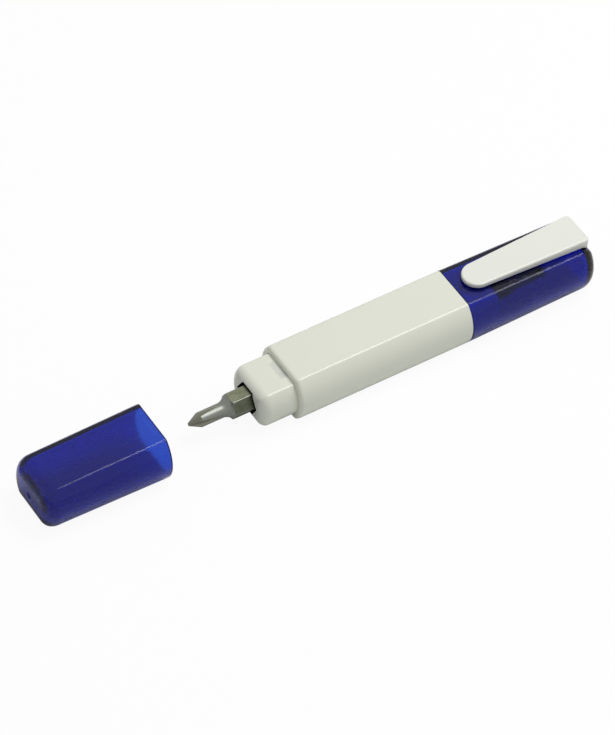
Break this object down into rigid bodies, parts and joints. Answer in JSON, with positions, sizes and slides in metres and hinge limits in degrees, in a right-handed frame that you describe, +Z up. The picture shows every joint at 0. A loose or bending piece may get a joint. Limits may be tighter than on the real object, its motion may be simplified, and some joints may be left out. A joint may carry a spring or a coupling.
{
  "type": "pocket screwdriver",
  "caption": "Double-ended pocket screwdriver: flat-topped handle with a magnetic hex bit socket at each end, insert bits, translucent pull-off caps and a pocket clip.",
  "frame": {"origin": "middle of the barrel's flat underside, which is also the surface that the tool lies on", "axes": "+X along the shaft towards the clip end, +Z up through the clip's side, +Y to the left when looking along +X"},
  "size_m": [0.1617, 0.0196, 0.0166],
  "materials": {
    "handle_plastic": "satin off-white moulding",
    "clip_plastic": "satin off-white moulding",
    "cap_plastic": "clear deep blue, polished",
    "bit_steel": "turned and formed tool steel",
    "magnet_plate": "nickel plate"
  },
  "bodies": {
    "handle": {"barrel": "handle_plastic", "front_bit_holder": "handle_plastic", "rear_bit_holder": "handle_plastic", "front_magnet": "magnet_plate", "rear_magnet": "magnet_plate"},
    "front_cap": {"front_cap": "cap_plastic"},
    "rear_cap": {"rear_cap": "cap_plastic"},
    "clip": {"clip": "clip_plastic"},
    "phillips_bit": {"phillips_bit": "bit_steel"},
    "slotted_bit": {"slotted_bit": "bit_steel"}
  },
  "joints": [
    {"name": "front_cap_pull", "type": "slide", "parent": "handle", "child": "front_cap", "axis": [-1, 0, 0], "range_m": [-0.0369, 0]},
    {"name": "rear_cap_pull", "type": "slide", "parent": "handle", "child": "rear_cap", "axis": [1, 0, 0], "range_m": [0, 0.0369]},
    {"name": "phillips_bit_pull", "type": "slide", "parent": "handle", "child": "phillips_bit", "axis": [-1, 0, 0], "range_m": [0, 0.0086]},
    {"name": "slotted_bit_pull", "type": "slide", "parent": "handle", "child": "slotted_bit", "axis": [1, 0, 0], "range_m": [0, 0.0086]},
    {"name": "clip_flex", "type": "hinge", "parent": "rear_cap", "child": "clip", "pos_m": [0.0595, 0, 0.01327], "axis": [0, 1, 0], "range_deg": [0, 3], "stiffness_Nm_per_rad": 0.6}
  ]
}
